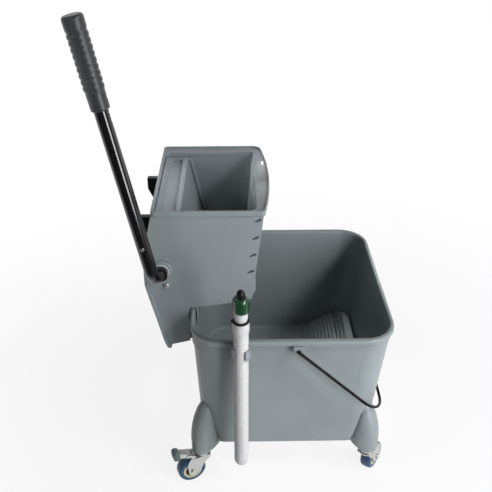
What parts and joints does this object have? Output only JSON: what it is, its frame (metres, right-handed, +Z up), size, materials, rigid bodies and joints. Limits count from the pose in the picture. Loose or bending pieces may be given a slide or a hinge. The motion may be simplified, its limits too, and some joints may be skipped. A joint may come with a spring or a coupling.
{
  "type": "mop bucket with wringer",
  "caption": "Wheeled mop bucket with a side-press lever wringer on one end, a washboard, a wire carrying bail, a clipped drain hose and swivel casters.",
  "frame": {"origin": "on the floor under the middle of the bucket rim", "axes": "+X towards the bail end away from the wringer, +Y away from the lever and hose side, +Z up"},
  "size_m": [0.5129, 0.4132, 0.8239],
  "materials": {
    "bucket_plastic": "satin moulded grey",
    "wringer_plastic": "satin moulded grey",
    "hose_white": "satin",
    "black_plastic": "semi-gloss",
    "cap_green": "gloss",
    "black_wire": "coated",
    "bush_white": "satin",
    "black_steel": "gloss black",
    "grip_rubber": "matte",
    "zinc": "zinc plated",
    "hub_cream": "satin",
    "tyre_blue": "satin",
    "brake_grey": "satin"
  },
  "bodies": {
    "bucket": {"bucket_tub": "bucket_plastic", "washboard": "bucket_plastic", "bail_lugs": "bucket_plastic", "hose_clip": "bucket_plastic", "drain_spigot": "hose_white", "drain_hose": "hose_white", "hose_cuff": "hose_white", "hose_collar": "hose_white", "cap_tether": "black_plastic", "wringer_housing": "wringer_plastic", "wringer_rim": "wringer_plastic", "wringer_grate": "wringer_plastic", "wringer_saddle": "wringer_plastic", "shaft_bush_front": "bush_white", "shaft_bush_rear": "bush_white", "caster_stem_fl": "zinc", "caster_stem_fr": "zinc", "caster_stem_rl": "zinc", "caster_stem_rr": "zinc"},
    "lever": {"drive_shaft": "black_steel", "crank_front": "black_plastic", "crank_rear": "black_plastic", "lever_tube": "black_steel", "lever_grip": "grip_rubber", "lever_bolt": "zinc"},
    "press": {"press_plate": "wringer_plastic"},
    "bail": {"bail_wire": "black_wire"},
    "cap": {"hose_cap": "cap_green", "cap_knob": "black_plastic"},
    "fork_fl": {"caster_fork_fl": "zinc", "wheel_axle_fl": "zinc"},
    "wheel_fl": {"wheel_hub_fl": "hub_cream", "tyre_fl": "tyre_blue"},
    "brake_fl": {"brake_lever_fl": "zinc", "brake_cap_fl": "brake_grey"},
    "fork_fr": {"caster_fork_fr": "zinc", "wheel_axle_fr": "zinc"},
    "wheel_fr": {"wheel_hub_fr": "hub_cream", "tyre_fr": "tyre_blue"},
    "fork_rl": {"caster_fork_rl": "zinc", "wheel_axle_rl": "zinc"},
    "wheel_rl": {"wheel_hub_rl": "hub_cream", "tyre_rl": "tyre_blue"},
    "brake_rl": {"brake_lever_rl": "zinc", "brake_cap_rl": "brake_grey"},
    "fork_rr": {"caster_fork_rr": "zinc", "wheel_axle_rr": "zinc"},
    "wheel_rr": {"wheel_hub_rr": "hub_cream", "tyre_rr": "tyre_blue"}
  },
  "joints": [
    {"name": "lever_turn", "type": "hinge", "parent": "bucket", "child": "lever", "pos_m": [-0.217, 0, 0.404], "axis": [0, 1, 0], "range_deg": [0, 48]},
    {"name": "press_slide", "type": "slide", "parent": "bucket", "child": "press", "axis": [1, 0, 0], "range_m": [0, 0.062]},
    {"name": "bail_swing", "type": "hinge", "parent": "bucket", "child": "bail", "pos_m": [0.008, 0, 0.307], "axis": [0, -1, 0], "range_deg": [0, 126]},
    {"name": "cap_turn", "type": "hinge", "parent": "bucket", "child": "cap", "pos_m": [-0.086, -0.203, 0.4], "axis": [0, 0, 1], "range_deg": [0, 180]},
    {"name": "swivel_fl", "type": "hinge", "parent": "bucket", "child": "fork_fl", "pos_m": [-0.158, -0.16, 0.055], "axis": [0, 0, 1], "continuous": true},
    {"name": "roll_fl", "type": "hinge", "parent": "fork_fl", "child": "wheel_fl", "pos_m": [-0.1781, -0.16895, 0.026], "axis": [0.4067, -0.9135, 0], "continuous": true},
    {"name": "brake_press_fl", "type": "hinge", "parent": "fork_fl", "child": "brake_fl", "pos_m": [-0.18267, -0.17098, 0.06], "axis": [0.4067, -0.9135, 0], "range_deg": [0, 10]},
    {"name": "swivel_fr", "type": "hinge", "parent": "bucket", "child": "fork_fr", "pos_m": [0.144, -0.16, 0.055], "axis": [0, 0, 1], "continuous": true},
    {"name": "roll_fr", "type": "hinge", "parent": "fork_fr", "child": "wheel_fr", "pos_m": [0.15693, -0.1422, 0.026], "axis": [-0.809, 0.5878, 0], "continuous": true},
    {"name": "swivel_rl", "type": "hinge", "parent": "bucket", "child": "fork_rl", "pos_m": [-0.158, 0.16, 0.055], "axis": [0, 0, 1], "continuous": true},
    {"name": "roll_rl", "type": "hinge", "parent": "fork_rl", "child": "wheel_rl", "pos_m": [-0.13806, 0.1693, 0.026], "axis": [-0.4226, 0.9063, 0], "continuous": true},
    {"name": "brake_press_rl", "type": "hinge", "parent": "fork_rl", "child": "brake_rl", "pos_m": [-0.13353, 0.17141, 0.06], "axis": [-0.4226, 0.9063, 0], "range_deg": [0, 10]},
    {"name": "swivel_rr", "type": "hinge", "parent": "bucket", "child": "fork_rr", "pos_m": [0.144, 0.16, 0.055], "axis": [0, 0, 1], "continuous": true},
    {"name": "roll_rr", "type": "hinge", "parent": "fork_rr", "child": "wheel_rr", "pos_m": [0.16467, 0.16752, 0.026], "axis": [-0.342, 0.9397, 0], "continuous": true}
  ],
  "couplings": [
    {"joint": "press_slide", "follows": "lever_turn", "m_per_rad": 0.074}
  ]
}
